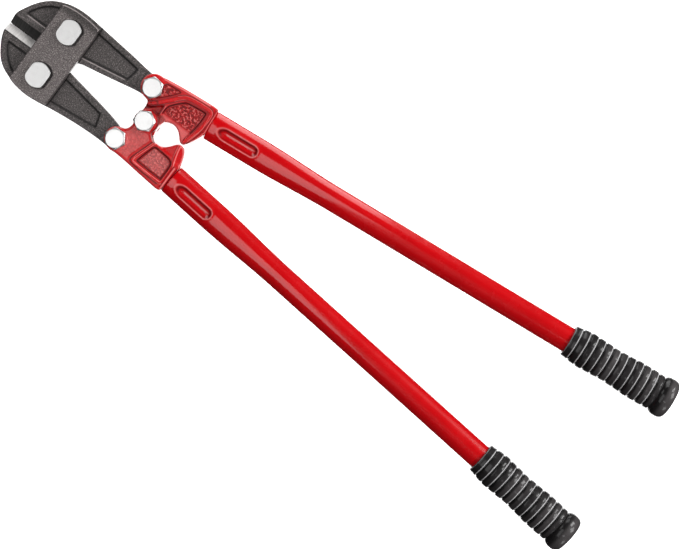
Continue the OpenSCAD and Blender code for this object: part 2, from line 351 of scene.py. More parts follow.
def red_paint(name, cast_iron):
    m, nt, b, vec = nodes_of(name)
    L = nt.links.new
    big = noise(nt, vec, 22, 3)
    base = ramp(nt, big, [(0.3, (0.50, 0.0012, 0.0035)), (0.7, (0.57, 0.0018, 0.0045))])
    if cast_iron:
        base = ramp(nt, big, [(0.3, (0.55, 0.0012, 0.0035)), (0.7, (0.65, 0.0018, 0.0045))])
        fine = noise(nt, vec, 900, 4, 0.6)
        base = mix(nt, span(nt, fine, 0.34, 0.60, 0.62, 0), base, (0.24, 0.001, 0.003))
        lumps = noise(nt, vec, 430, 3, 0.6)
        peb = attr(nt, "pebble")
        # Painted shade and painted highlight: darker red in the low spots of the lumps that also drive the pebble
        # bump, pale pink on their crests.
        shade = mix(nt, span(nt, lumps, 0.42, 0.54, 0.90, 0), base, (0.13, 0.001, 0.002))
        shade = mix(nt, span(nt, lumps, 0.53, 0.60, 0, 0.48), shade, (0.82, 0.27, 0.25))
        base = mix(nt, peb, base, shade)
        # Painted shade: near-black red along creases, panel borders, boss sides and the collar gap.
        dark = attr(nt, "dark")
        base = mix(nt, span(nt, dark, 0, 1, 0, 0.97), base, (0.045, 0.001, 0.002))
        # Painted highlight: pale pink along rounded edges and along the highlight lines set on the mesh.
        edge = attr(nt, "edge")
        L(mix(nt, span(nt, edge, 0.35, 0.9, 0.0, 0.65), base, (0.84, 0.26, 0.25)), b.inputs["Base Color"])
        L(span(nt, fine, 0.3, 0.7, 0.30, 0.44), b.inputs["Roughness"])
        m1 = nt.nodes.new("ShaderNodeMath")
        m1.operation = "MULTIPLY"
        L(span(nt, lumps, 0.3, 0.7, 0, 6), m1.inputs[0])
        L(peb, m1.inputs[1])
        m2 = nt.nodes.new("ShaderNodeMath")
        m2.operation = "ADD"
        L(m1.outputs[0], m2.inputs[0])
        L(fine, m2.inputs[1])
        bump(nt, b, m2.outputs[0], 0.00022, 0.9)
    else:
        # Painted shade in the dimple walls and a painted highlight line down each dimple and round its rim.
        shade = mix(nt, span(nt, attr(nt, "dark"), 0, 1, 0, 0.85), base, (0.08, 0.001, 0.002))
        L(mix(nt, attr(nt, "painted_highlight_lines"), shade, (0.86, 0.30, 0.29)), b.inputs["Base Color"])
        L(span(nt, noise(nt, vec, 60, 4), 0.3, 0.7, 0.22, 0.30), b.inputs["Roughness"])
        bump(nt, b, noise(nt, vec, 240, 2, 0.4), 0.00003, 0.4)
    b.inputs["Metallic"].default_value = 0
    b.inputs["IOR"].default_value = 1.5
    b.inputs["Specular IOR Level"].default_value = 0.2
    b.inputs["Coat Weight"].default_value = 0.16 if cast_iron else 0.75
    b.inputs["Coat Roughness"].default_value = 0.17 if cast_iron else 0.09
    return m


def forged_black(name, lo, hi, metal, rough):
    m, nt, b, vec = nodes_of(name)
    L = nt.links.new
    mott = noise(nt, vec, 300, 5, 0.7)
    fine = noise(nt, vec, 900, 4, 0.7)
    warm = lambda v: (v * 1.06, v * 0.93, v * 0.91)
    base = ramp(nt, mott, [(0.3, warm(lo)), (0.7, warm(hi))])
    spk = mix(nt, span(nt, fine, 0.53, 0.66, 0, 0.75), base, warm(hi * 3.2))
    spk = mix(nt, span(nt, fine, 0.34, 0.47, 0.75, 0), spk, warm(lo * 0.25))
    # Painted shade in creases, panel borders, beside the strap and round the bolt heads; painted highlight along
    # rounded edges and highlight lines.
    spk = mix(nt, span(nt, attr(nt, "dark"), 0, 1, 0, 0.92), spk, (0.003, 0.0025, 0.0025))
    L(mix(nt, span(nt, attr(nt, "edge"), 0.4, 1.0, 0, 0.85), spk, warm(hi * 4.6)), b.inputs["Base Color"])
    L(span(nt, mott, 0.3, 0.7, rough - 0.06, rough + 0.06), b.inputs["Roughness"])
    b.inputs["Metallic"].default_value = metal
    b.inputs["Specular IOR Level"].default_value = 0.35
    bump(nt, b, fine, 0.00034, 0.9)
    return m


def ground_steel(name, lo, hi, metal):
    m, nt, b, vec = nodes_of(name)
    L = nt.links.new
    lines = noise(nt, vec, 700, 3, 0.5, (1.0, 0.06, 0.06))
    base = ramp(nt, lines, [(0.3, (lo, lo * 0.97, lo * 0.95)), (0.7, (hi, hi * 0.97, hi * 0.95))])
    # Painted shade where the mesh carries it, such as the line where the lower bevel meets the flat.
    L(mix(nt, span(nt, attr(nt, "dark"), 0, 1, 0, 0.9), base, (0.01, 0.009, 0.009)), b.inputs["Base Color"])
    L(span(nt, lines, 0.3, 0.7, 0.42, 0.52), b.inputs["Roughness"])
    b.inputs["Metallic"].default_value = metal
    b.inputs["Specular IOR Level"].default_value = 0.2
    bump(nt, b, lines, 0.00004, 0.6)
    return m


def plated_steel(name, tone=1.0):
    m, nt, b, vec = nodes_of(name)
    L = nt.links.new
    cloud = noise(nt, vec, 260, 4, 0.6)
    fine = noise(nt, vec, 1400, 3, 0.5)
    t = tone
    L(ramp(nt, cloud, [(0.3, (0.80 * t, 0.795 * t, 0.79 * t)), (0.7, (0.90 * t, 0.895 * t, 0.89 * t))]), b.inputs["Base Color"])
    L(span(nt, cloud, 0.3, 0.7, 0.28, 0.40), b.inputs["Roughness"])
    b.inputs["Metallic"].default_value = 1.0
    bump(nt, b, fine, 0.00006, 0.4)
    return m


def grip_black(name):
    m, nt, b, vec = nodes_of(name)
    L = nt.links.new
    cloud = noise(nt, vec, 90, 3)
    fine = noise(nt, vec, 1500, 3, 0.6)
    base = ramp(nt, cloud, [(0.35, (0.0035, 0.0031, 0.0033)), (0.65, (0.010, 0.0092, 0.0095))])
    base = mix(nt, span(nt, fine, 0.5, 0.72, 0, 0.35), base, (0.040, 0.037, 0.038))
    # Painted sheen: the right half of each rib and the end are greyer as reflected light; the pale lip colour is a
    # painted highlight on the raised lips.
    base = mix(nt, attr(nt, "painted_sheen"), base, (0.058, 0.053, 0.054))
    L(mix(nt, attr(nt, "lip"), base, (0.66, 0.65, 0.66)), b.inputs["Base Color"])
    L(span(nt, cloud, 0.3, 0.7, 0.36, 0.44), b.inputs["Roughness"])
    b.inputs["Specular IOR Level"].default_value = 0.12
    b.inputs["Coat Weight"].default_value = 0.34
    b.inputs["Coat Roughness"].default_value = 0.10
    bump(nt, b, fine, 0.00001, 0.3)
    return m


RED_TUBE = red_paint("red_tube_paint", False)
RED_CAST = red_paint("red_cast_paint", True)
BLACK = forged_black("forged_black", 0.040, 0.082, 0.27, 0.47)
STRAP = forged_black("strap_black", 0.090, 0.150, 0.55, 0.46)
# Both ground bevels are the same steel: the upper copy carries painted shade (near-black), the lower a painted
# highlight (bright).
GROUND_SHADED = ground_steel("ground_edge_dark", 0.022, 0.045, 0.2)
GROUND_LIT = ground_steel("ground_edge_painted_highlight", 0.47, 0.62, 0.2)
BOLT = plated_steel("plated_bolt", 0.70)
BIG_BOLT = plated_steel("big_bolt_steel", 0.51)
GRIP = grip_black("grip_black")

# ---------------------------------------------------------------- jaws

U_JAW = soften([(-168.4, .02), (-168.4, .02), (-168.4, 9), (-167.6, 13), (-165.4, 18), (-160.4, 27), (-155.4, 34), (-150, 39.5),
                (-143, 44.5), (-135, 48), (-125, 51), (-112, 52), (-100, 51.2), (-90, 50), (-75, 48.5),
                (-60, 47), (-50, 46), (-35, 44), (-22, 42.6), (-13, 42.3), (-13, 42.3), (-13, 20.3), (-13, 20.3), (-20, 20.7),
                (-30, 19.5), (-50, 15.5), (-60, 13.5), (-80, 10), (-88, 8.6), (-97, 3.2), (-112, .02), (-112, .02)])
L_JAW = soften([(-168.4, -.02), (-168.4, -.02), (-168.4, -8), (-167.4, -12.5), (-164.6, -19), (-160.4, -26), (-155.4, -33), (-150, -38),
                (-145, -41), (-139, -43.6), (-130, -46.8), (-122, -48.5), (-112, -49.2), (-100, -48.2), (-90, -46.5),
                (-80, -45), (-60, -43), (-45, -42), (-30, -41.6), (-20, -42), (-13, -42.3), (-13, -42.3), (-13, -20.3), (-13, -20.3), (-19, -18.6),
                (-30, -15.5), (-50, -11.6), (-60, -10), (-80, -6.6), (-88, -5.2), (-97, -3.2), (-112, -.02), (-112, -.02)])
U_NOSE = soften([(-130, 17.4), (-130, 17.4), (-158.4, 17.4), (-158.4, 17.4), (-158.8, 19.5), (-152.4, 30), (-146, 36.2), (-139, 40.4), (-130, 43), (-130, 43)])
L_NOSE = soften([(-130, -15.4), (-130, -15.4), (-157.4, -15.4), (-157.4, -15.4), (-157.2, -19), (-150, -28.8), (-143, -34.8), (-136, -38.6), (-130, -40), (-130, -40)])
U_ARM = soften([(-96, 44.4), (-96, 44.4), (-39.5, 38.4), (-36.6, 37.8), (-36.6, 35.6), (-38.6, 24.4), (-39.4, 22.8), (-41.5, 22.9), (-96, 13.6), (-96, 13.6)], 2)
L_ARM = soften([(-96, -11.2), (-96, -11.2), (-43, -19.4), (-40.6, -20.2), (-39.8, -22), (-36.8, -32.6), (-36.4, -34.4), (-38.6, -34.8), (-96, -40.8), (-96, -40.8)], 2)


def panel(d, depth, slope, lip=0.0):
    """Height change of a sunk panel, with a slightly raised lip round it."""
    return -depth * ss(-d / slope) + lip * np.exp(-((d - 0.9) / 0.7) ** 2)


def jaw_field(outline, nose, arm, p, q, side, seed):
    def f(x, y, z):
        d = rmin(poly(x, y, outline), circle(x, y, q, 11.2), 1.0)
        c = cast(x, y, seed)
        dn, da = poly(x, y, nose), poly(x, y, arm)
        H = 7.45 + panel(dn, 1.8, 0.85, .08) + panel(da, 1.8, 0.85, .08) + 0.05 * c
        H = H + (0.14 * cast(x, y, seed + 3) + 0.10 * grainy(x, y, 1.3, seed + 5)) * ss(-(np.minimum(da, dn) + 1.6) / 1.2)
        Y = side * y
        bevel = EDGE + Y * bevel_slope(side) + 60 * ss((x + 131) / 9)
        H = np.minimum(H, bevel)
        r = 0.08 + 1.1 * ss((Y - 1.5) / 4 + ss((x + 131) / 6))
        F = rmax(d, np.abs(z) - H, r)
        F = np.maximum(F, -circle(x, y, p, 8.08))
        return np.maximum(F, -circle(x, y, q, 6.08))
    return f


def painted_edge_highlight(pos, nor):
    """Painted highlight on outer edges: how much a vertex lies on an outer edge, from the tilt of its normal."""
    n = np.abs(nor[:, 2])
    return np.exp(-((n - 0.62) / 0.22) ** 2)


def bevel_pick(side):
    def pick(mid):
        Y = side * mid[:, 1]
        return (mid[:, 0] < -131) & (Y < (7.45 - EDGE) / bevel_slope(side) - 0.1) & (np.abs(mid[:, 2]) < EDGE + 0.3 + Y * bevel_slope(side)) & (mid[:, 0] > -168.2)
    return pick


VOX = 0.6


def forged(name, field, lo, hi, mats, body, pick=None, h=None, dark=None, pebble=None, flat=None, painted_highlight_lines=None):
    pos, faces, nor = surface(field, lo, hi, h or VOX)
    x, y, z = pos.T
    shade = np.zeros(len(pos)) if dark is None else np.clip(dark(x, y, z), 0, 1)
    peb = np.zeros(len(pos)) if pebble is None else np.clip(pebble(x, y, z), 0, 1)
    # The edge attribute is a painted highlight along rounded edges, cleared where painted shade lies, joined with the
    # painted highlight lines.
    edge = painted_edge_highlight(pos, nor) * (1 - shade)
    if painted_highlight_lines is not None:
        edge = np.maximum(edge, np.clip(painted_highlight_lines(x, y, z), 0, 1))
    if flat is not None:
        nor = flat(x, y, z, nor)
    return make(name + "_body", pos, faces, mats, body, name, nor, pick, {"edge": edge, "dark": shade, "pebble": peb})


TOP_U, TOP_L = 9.7, 8.5      # width of the two ground bevels
EDGE = 0.42                  # half thickness of the cutting edge


def bevel_slope(side):
    return (7.45 - EDGE) / (TOP_U if side > 0 else TOP_L)


def bevel_flat(side):
    """The ground bevels are flat, with the same normal right up to the cutting edge."""
    k = bevel_slope(side)

    def f(x, y, z, nor):
        Y = side * y
        on = (x < -131.5) & (x > -167.9) & (Y > -0.1) & (Y < (7.45 - EDGE) / k - 0.25) & (np.abs(np.abs(z) - (EDGE + Y * k)) < 0.45)
        n = np.stack([0 * x, -side * k + 0 * x, np.where(z >= 0, 1.0, -1.0)], 1) / math.hypot(1, k)
        return np.where(on[:, None], n, nor)
    return f


def line_at(d, at, wide):
    return np.exp(-((d - at) / wide) ** 2)


# Painted shade: borders inside the sunk panels, the strap's painted shadow on the arms, and a line where the lower
# bevel meets the flat.
def jaw_dark(nose, arm, side):
    def f(x, y, z):
        dn, da = poly(x, y, nose), poly(x, y, arm)
        k = np.maximum(line_at(dn, -0.6, 1.3), line_at(da, -0.6, 1.3))
        k = np.maximum(k, 0.9 * ss((x + 90.5) / 0.6) * ss((-87.4 - x) / 1.4))
        k = k * ss((np.abs(z) - 4) / 1.5)
        if side < 0:
            k = np.maximum(k, line_at(y, -TOP_L - 0.3, 0.6) * (x < -130))
        return k
    return f


# Painted highlight lines along the lower edges of the nose and arm panels.
def upper_jaw_painted_highlight_lines(x, y, z):
    k = np.maximum(line_at(path(x, y, [(-157, 16.0), (-134, 16.0)]), 0, 0.8), line_at(path(x, y, [(-88, 13.6), (-42, 21.4)]), 0, 0.8))
    return k * (z > 5)


def lower_jaw_painted_highlight_lines(x, y, z):
    k = np.maximum(line_at(path(x, y, [(-156, -14.2), (-134, -14.2)]), 0, 0.5) * 0.5, line_at(path(x, y, [(-88, -41.2), (-38, -36)]), 0, 0.5) * 0.5)
    return k * (z > 5)


forged("upper_jaw", jaw_field(U_JAW, U_NOSE, U_ARM, P1, Q1, 1, 11), (-170, -1, -8), (0, 54, 8), [BLACK, GROUND_SHADED], "upper_jaw", bevel_pick(1), None, jaw_dark(U_NOSE, U_ARM, 1), None, bevel_flat(1), upper_jaw_painted_highlight_lines)
forged("lower_jaw", jaw_field(L_JAW, L_NOSE, L_ARM, P2, Q2, -1, 29), (-170, -51, -8), (0, 1, 8), [BLACK, GROUND_LIT], "lower_jaw", bevel_pick(-1), None, jaw_dark(L_NOSE, L_ARM, -1), None, bevel_flat(-1), lower_jaw_painted_highlight_lines)

# ---------------------------------------------------------------- straps

STRAP_OUT = soften([(-134.2, 46.2), (-124, 48.6), (-112, 49.2), (-103, 48.9), (-92, 47.4), (-89.2, 46.6), (-89, 44),
                    (-89, -42), (-89.4, -45), (-92, -46.4), (-98, -47.8), (-112, -49), (-125, -47.8), (-134, -45.2), (-134.2, -44), (-134.3, -42), (-134.3, 44)], 2)


def strap_field(sign, seed):
    def f(x, y, z):
        d = poly(x, y, STRAP_OUT)
        if sign < 0:
            d = rmax(d, x + 92.7, 1.2)
        Z = z * sign - 11.62
        F = rmax(d, np.abs(Z) - (3.95 + 0.03 * cast(x, y, seed)), 1.25)
        F = np.maximum(F, -circle(x, y, P1, 8.03))
        return np.maximum(F, -circle(x, y, P2, 8.03))
    return f



def strap_dark(x, y, z):
    """Painted shade: a crescent round the upper right of each bolt head, along the sides and at the upper end."""
    k = 0
    for p in (P1, P2):
        dx, dy = x - p[0] - 0.8, y - p[1] - 0.9
        d = np.maximum(np.sqrt(dx * dx + dy * dy) - 13, np.abs(dx) - 10.8)
        k = np.maximum(k, line_at(np.maximum(d, 0), 0, 0.8))
    k = np.maximum(k, 0.75 * line_at(poly(x, y, STRAP_OUT), 0.2, 0.8) * (np.abs(y) < 44))
    k = k * (z > 15)
    return np.maximum(k, 0.66 * ss((y - 36) / 8) * (z > 7))


# The front strap gets a painted highlight line near its upper end.
forged("front_strap", strap_field(1, 41), (-136, -51, 7), (-87, 51, 16.4), [STRAP], "straps", dark=strap_dark, painted_highlight_lines=lambda x, y, z: 0.9 * line_at(poly(x, y, STRAP_OUT), -1.3, 0.6) * (y > 44) * (z > 14))
forged("rear_strap", strap_field(-1, 53), (-136, -51, -16.4), (-87, 51, -7), [STRAP], "straps")

# ---------------------------------------------------------------- handle heads

U_HEAD = soften([(-13, 46.2), (0, 48.2), (17, 50.3), (40, 52.3), (50, 53), (52.4, 52), (53.2, 49.5), (54.2, 36), (55.2, 25.8), (54.8, 23.4), (51.2, 14), (47.3, 7), (44.6, 3.9), (42, 3.1), (39, 4.6),
                 (36, 8.2), (32, 12), (26, 14.4), (20, 13.4), (15.8, 10.6), (13.8, 12.6), (10, 13.8), (7, 13.8), (7, 13.8), (-8.8, 13.8), (-8.8, 13.8), (-9.4, 17.6), (-13, 20.6), (-16, 22), (-16, 22)], 2)
U_NOTCH = soften([(-12, 9), (-12, 9), (-7.2, 13.8), (-2, 17.4), (3.4, 22.2), (6.4, 24.4), (7, 22), (7, 9), (7, 9)], 1)
U_TONGUE = soften([(-9, 6), (-9.2, 13), (-9, 18), (-9, 18), (7, 22), (15.6, 16), (15.6, 16), (15.4, 10.6), (13.7, 6), (13.4, 2), (13.7, -2), (14.8, -5.4), (14.4, -7.4), (10, -8.4), (0, -4)], 2)
U_SLOT_DIRS = [math.radians(a) for a in range(130, 195, 12)]
U_PANEL = soften([(8.4, 4), (8.4, 4), (8.4, 24.0), (12.6, 30.4), (20.4, 38.4), (24, 40.6), (43, 42.9), (45.4, 42.4), (45.8, 40), (45.8, 27), (43.8, 16), (42.4, 4), (42.4, 4)], 2)
U_RIB = soft_path([(-9, 14.6), (-4, 19), (0, 22.8), (5, 28.4), (10, 33.8), (15, 39.6), (19.4, 43.2), (27, 45.0), (44, 46.6), (48.6, 45.6), (49.6, 42), (49.4, 27), (46.6, 15), (43.6, 6)], 2)
U_FIELD = soften([(-7, 43), (2, 44.6), (14, 45.4), (10, 40), (4, 32.6), (-2, 26.5), (-6, 23)], 2)


def slot_upper(x, y):
    d = circle(x, y, Q1, 12.0)
    for a in U_SLOT_DIRS:
        c, s = math.cos(a), math.sin(a)
        u = (x - Q1[0]) * c + (y - Q1[1]) * s
        v = -(x - Q1[0]) * s + (y - Q1[1]) * c
        d = np.minimum(d, np.maximum(np.maximum(-u, u - 30), np.abs(v) - 12.4))
    return d


def tang_field(x, y, z, side):
    off, a = side
    c, s = math.cos(a), math.sin(a)
    u, v = x * c + (y - off) * s, -x * s + (y - off) * c
    return np.maximum(np.maximum(53 - u, u - 114), np.maximum(np.abs(v) - 8.9, np.abs(z) - 5.4))


def upper_head(x, y, z):
    d = rmin(circle(x, y, (Q1[0], Q1[1] + 1.5), 13.4), poly(x, y, U_HEAD), 2.0)
    c = cast(x, y, 5)
    dn, dp, df = poly(x, y, U_NOTCH), poly(x, y, U_PANEL), poly(x, y, U_FIELD)
    pebble = 0.5 * grainy(x * .9 + y * .3, y, 2.1, 71) + .5 * grainy(x, y * .8 - x * .25, 3.3, 77)
    pebble2 = 0.5 * grainy(x * .9 + y * .3, y, 2.1, 171) + .5 * grainy(x, y * .8 - x * .25, 3.3, 177)
    H = 13.4 + 0.07 * c
    H = H - 2.0 * ss(-dp / 1.3) + 0.40 * pebble * ss(-(dp + 2.0) / 1.6) * ss((y - 16.5) / 3)
    H = H - 0.8 * ss(-df / 1.4) + 0.42 * pebble2 * ss(-(df + 1.4) / 1.6)
    H = H + 0.55 * ss((2.0 - path(x, y, U_RIB)) / 1.3)
    H = H + 0.55 * ss((12.6 - (circle(x, y, Q1, 0))) / 1.2)
    # the right end falls away from a ridge down to the collar and the stop
    right = (x - 47) * 0.985 + (25 - y) * -0.17
    H = H - 0.30 * np.clip(right, 0, 12) * ss((27 - y) / 4) - 0.16 * np.clip(x - 48.5, 0, 8) * ss((y - 24) / 4)
    H = H - 5.95 * ss(-dn / 1.4)
    H = np.maximum(H, 7.4)
    F = rmax(d, np.abs(z) - H, 2.3)
    F = np.maximum(F, -np.maximum(slot_upper(x, y), np.abs(z) - 7.8))
    t = rmax(np.minimum(circle(x, y, C, 11), poly(x, y, U_TONGUE)), np.abs(z) - 7.4, 0.9)
    F = rmin(F, t, 0.8)
    F = np.minimum(F, tang_field(x, y, z, UPPER))
    F = np.maximum(F, -circle(x, y, C, 8.3))
    return np.maximum(F, -circle(x, y, Q1, 6.02))


L_HEAD = soften([(-8.2, -6), (-8.1, -10), (-9.2, -14.6), (-12, -18), (-15, -19.4), (-16, -24), (-16, -38), (-14, -42.7), (0, -42.9), (20, -45), (40, -47), (49.6, -47.7),
                 (51.9, -46.9), (52.9, -44.4), (54, -31), (55.3, -18.5), (55.1, -15.5), (52, -6), (49, 0), (46, 1.7), (42, 2.2), (39.4, .6), (37.6, -1.6), (35, -5),
                 (31, -9.2), (26, -11.3), (22.6, -10.9), (19.6, -12.0), (15.6, -9.6), (12.4, -6), (10.6, -3.6)], 2)
L_SLOT = [(-40, 20), (20.6, 20), (20.6, -10.6), (15, -14), (8, -20), (3, -31), (1, -56), (-40, -56)]
L_PANEL = soften([(22.4, -13.6), (19.6, -22), (16.0, -35), (16.6, -36.9), (19, -37.1), (45.4, -38.3), (47.2, -38.0), (47.3, -36), (47.4, -20), (45.6, -17.2), (42.2, -15.2), (30, -14)], 2)
L_RIB = soft_path([(20.4, -12.4), (17, -22), (12.2, -35.4), (12, -39), (15, -40.2), (46, -41.4), (49, -40.6), (49.4, -37), (49.4, -22), (46.4, -15.6), (43.2, -4), (42.6, .5)], 2)
L_FIELD = soften([(-5, -10), (6, -9.6), (15, -13), (14, -20), (9, -33), (8.4, -41), (-4, -40.4), (-1, -31), (-6, -20)], 2)


BOSS = (1.5, 1.3)
U_WEB = soft_path([(-9.6, 13.4), (-4, 16.6), (1.5, 21.2), (5.6, 25.0), (7.2, 22.4), (7.3, 14.6)], 1)


# Painted shade along the panel borders, rib sides, the web, the right frame and the field border.
def upper_dark(x, y, z):
    k = line_at(poly(x, y, U_PANEL), -0.7, 1.0) * ss((y - 15) / 3)
    k = np.maximum(k, 0.8 * line_at(path(x, y, U_RIB[6:]), 2.6, 0.6) * (poly(x, y, U_PANEL) > 0))
    k = np.maximum(k, line_at(poly(x, y, U_FIELD), -0.5, 0.75))
    k = np.maximum(k, 0.9 * line_at(path(x, y, U_WEB), 0, 0.9))
    k = np.maximum(k, 0.55 * line_at(path(x, y, [(51.6, 51), (52.2, 40), (53.4, 26), (49.6, 14), (44.6, 5)]), 0, 0.7))
    k = np.maximum(k, 0.85 * line_at(path(x, y, U_RIB[:8]), 2.9, 0.9) * (poly(x, y, U_PANEL) > -1))
    return k * ss((z - 3) / 3)


# Painted shade along the panel border, the web, the side of the boss, the hole's edge and the collar gap.
def lower_dark(x, y, z):
    k = line_at(poly(x, y, L_PANEL), -0.7, 1.0)
    k = np.maximum(k, 0.9 * line_at(path(x, y, L_WEB), 0, 0.7))
    ring = circle(x, y, BOSS, 12.3)
    k = np.maximum(k, 0.75 * ss((ring + 2.2) / 1.0) * ss((2.5 - ring) / 1.5) * ss((x * 0.8 + y * 0.6 - 4) / 5))
    k = np.maximum(k, 0.8 * line_at(path(x, y, [(12, -5), (15.6, -8.9), (19.6, -11.6)]), 0, 1.2))
    k = np.maximum(k, 0.8 * line_at(path(x, y, [(54.3, -20), (53.2, -46)]), 0, 0.7))
    k = np.maximum(k, 0.8 * line_at(path(x, y, [(49.9, -20), (50.3, -45)]), 0, 0.5))
    return k * ss((z - 3) / 3)


L_WEB = soft_path([(18.2, -12.8), (15.2, -22), (10.4, -35.4), (10.2, -39.6), (13.2, -41.9), (46, -43.4)], 2)


# Painted highlights: pale lines along the top edge, rib, panel edges, web lip and right frame, and a pale painted
# sheen on the lower part of the panel.
def upper_painted_highlight_lines(x, y, z):
    dp = poly(x, y, U_PANEL)
    k = 1.0 * line_at(poly(x, y, U_HEAD), -1.7, 1.0) * ss((y - 43) / 3) * ss((46 - x) / 3)
    k = np.maximum(k, 0.7 * line_at(path(x, y, U_RIB), 1.9, 0.45) * (dp > 2.4) * (x > 12))
    k = np.maximum(k, 0.7 * line_at(dp, -2.1, 0.5) * ss((y - 25) / 4) * ss((x - 22) / 4))
    k = np.maximum(k, 0.8 * line_at(path(x, y, [(8.2, 24.8), (8.4, 15)]), 0, 0.5))
    k = np.maximum(k, 0.75 * line_at(path(x, y, [(49.0, 43), (51.0, 27.5), (45.8, 9)]), 0, 0.55))
    k = np.maximum(k, 0.66 * ss(-(dp + 1) / 1) * ss((21 - y) / 7))
    return k * (z > 7)


# Painted highlights: pale lines along the frame, collar and stop ridge and inside the panel edge, and a pale painted
# sheen on the panel and the flat beside the rib.
def lower_painted_highlight_lines(x, y, z):
    k = 0.72 * line_at(path(x, y, [(19.9, -13), (13.4, -30), (12.6, -37), (14.6, -39.8), (41, -41.4)]), 0, 0.45)
    k = np.maximum(k, line_at(path(x, y, [(51.8, -20.8), (51.7, -45)]), 0, 0.9))
    k = np.maximum(k, 0.75 * line_at(path(x, y, [(47.6, -20), (44.4, -14), (42.4, -1.3)]), 0, 0.55))
    k = np.maximum(k, 0.5 * line_at(poly(x, y, L_PANEL), -2.1, 0.5) * ss((y + 22) / 4))
    k = np.maximum(k, 0.66 * ss(-(poly(x, y, L_PANEL) + 1.8) / 1.0))
    k = np.maximum(k, 0.60 * ss(-(poly(x, y, L_HEAD) + 1.5) / 2) * ss((path(x, y, L_RIB) - 3.6) / 1.6) * ss((19 - x) / 3) * ss((-7 - y) / 3))
    return k * (z > 7)


# Where the pebble relief sits; the same mask also scales its painted shade and painted highlight.
def upper_pebble(x, y, z):
    k = ss(-(poly(x, y, U_PANEL) + 1.8) / 1.2) * ss((y - 16.5) / 3)
    return np.maximum(k, ss(-(poly(x, y, U_FIELD) + 1) / 1.2)) * (z > 8)


def lower_pebble(x, y, z):
    k = ss(-(poly(x, y, L_PANEL) + 1.6) / 1.2)
    return np.maximum(k, 0.35 * ss(-(poly(x, y, L_FIELD)) / 1.2)) * (z > 8)


def lower_head(x, y, z):
    d = rmin(np.minimum(circle(x, y, C, 11.4), circle(x, y, BOSS, 12.3)), poly(x, y, L_HEAD), 1.2)
    d = rmin(d, circle(x, y, (Q2[0], Q2[1] + .6), 12.1), 2.0)
    c = cast(x, y, 15)
    dp, df = poly(x, y, L_PANEL), poly(x, y, L_FIELD)
    pebble = 0.5 * grainy(x * .9 + y * .3, y, 2.1, 91) + .5 * grainy(x, y * .8 - x * .25, 3.3, 97)
    H = 13.35 + 0.07 * c
    H = H - 1.8 * ss(-dp / 1.2) + 0.42 * pebble * ss(-(dp + 2.0) / 1.6)
    H = H - 0.35 * ss(-df / 1.6) + 0.10 * cast(x * 1.3, y * 1.3, 63) * ss(-df / 2)
    H = H + 0.95 * ss((1.9 - path(x, y, L_RIB)) / 1.4)
    H = H + 0.6 * ss((12.2 - (circle(x, y, Q2, 0))) / 1.2) + 0.6 * ss((11.4 - (circle(x, y, C, 0))) / 1.2)
    right = (x - 45.4) * 0.98 + (y + 16) * 0.2
    H = H - 0.26 * np.clip(right, 0, 12) * ss((y + 18) / 4)
    left = 43.2 - x
    H = H - 0.10 * np.clip(left, 0, 12) * ss((y + 13.4) / 3) * ss((x - 26) / 4)
    H = H - 0.5 * line_at(path(x, y, [(49.9, -20), (50.3, -45)]), 0, 0.7)
    F = rmax(d, np.abs(z) - H, 2.1)
    F = np.maximum(F, -np.maximum(poly(x, y, L_SLOT), np.abs(z) - 7.8))
    F = np.minimum(F, tang_field(x, y, z, LOWER))
    F = np.maximum(F, -circle(x, y, C, 6.02))
    return np.maximum(F, -circle(x, y, Q2, 6.02))


forged("upper_head", upper_head, (-28, -13, -15.4), (116, 56, 15.4), [RED_CAST], "upper_handle", h=0.61, dark=upper_dark, pebble=upper_pebble, painted_highlight_lines=upper_painted_highlight_lines)
forged("lower_head", lower_head, (-28, -50, -15.4), (116, 13, 15.4), [RED_CAST], "lower_handle", dark=lower_dark, pebble=lower_pebble, painted_highlight_lines=lower_painted_highlight_lines)

# ---------------------------------------------------------------- bolts, nuts and washers


def hexagon(x, y, af, turn=0.0):
    d = None
    for k in range(3):
        a = math.radians(60 * k + 90 + turn)
        v = np.abs(x * math.cos(a) + y * math.sin(a)) - af / 2
        d = v if d is None else np.maximum(d, v)
    return d


def hex_bolt(turn):
    def f(x, y, z):
        r = np.sqrt(x * x + y * y)
        head = rmax(hexagon(x, y, 19.9, turn), np.abs(z - 17.27) - 3.23, 0.25)
        head = rmax(head, (r - 9.9) * 0.5 + (z - 20.5) * 0.866 + 0.30, 0.3)
        shank = rmax(r - 5.97, np.abs(z + 3.2) - 17.3, 0.6)
        thread = r - 5.97 + 0.34 * (0.5 + 0.5 * np.sin(z * 2 * math.pi / 1.75 + np.arctan2(y, x)))
        return np.minimum(head, np.where(z < -14.2, np.maximum(shank, thread), shank))
    return f


def hex_nut(turn, af, z0, z1, bore):
    def f(x, y, z):
        r = np.sqrt(x * x + y * y)
        m, hh = (z0 + z1) / 2, (z1 - z0) / 2
        n = rmax(hexagon(x, y, af, turn), np.abs(z - m) - hh, 0.2)
        n = rmax(n, (r - af / 2) * 0.5 + (np.abs(z - m) - hh) * 0.866 + 0.15, 0.25)
        return rmax(n, bore - r, 0.25)
    return f


def washer(turn, r0, r1, z0, z1, split):
    def f(x, y, z):
        r = np.sqrt(x * x + y * y)
        w = rmax(rmax(r - r1, r0 - r, 0.3), np.abs(z - (z0 + z1) / 2) - (z1 - z0) / 2, 0.3)
        if split:
            a = math.radians(turn)
            u, v = x * math.cos(a) + y * math.sin(a), -x * math.sin(a) + y * math.cos(a)
            w = np.maximum(w, -np.maximum(np.abs(v) - 0.6, -u))
        return w
    return f


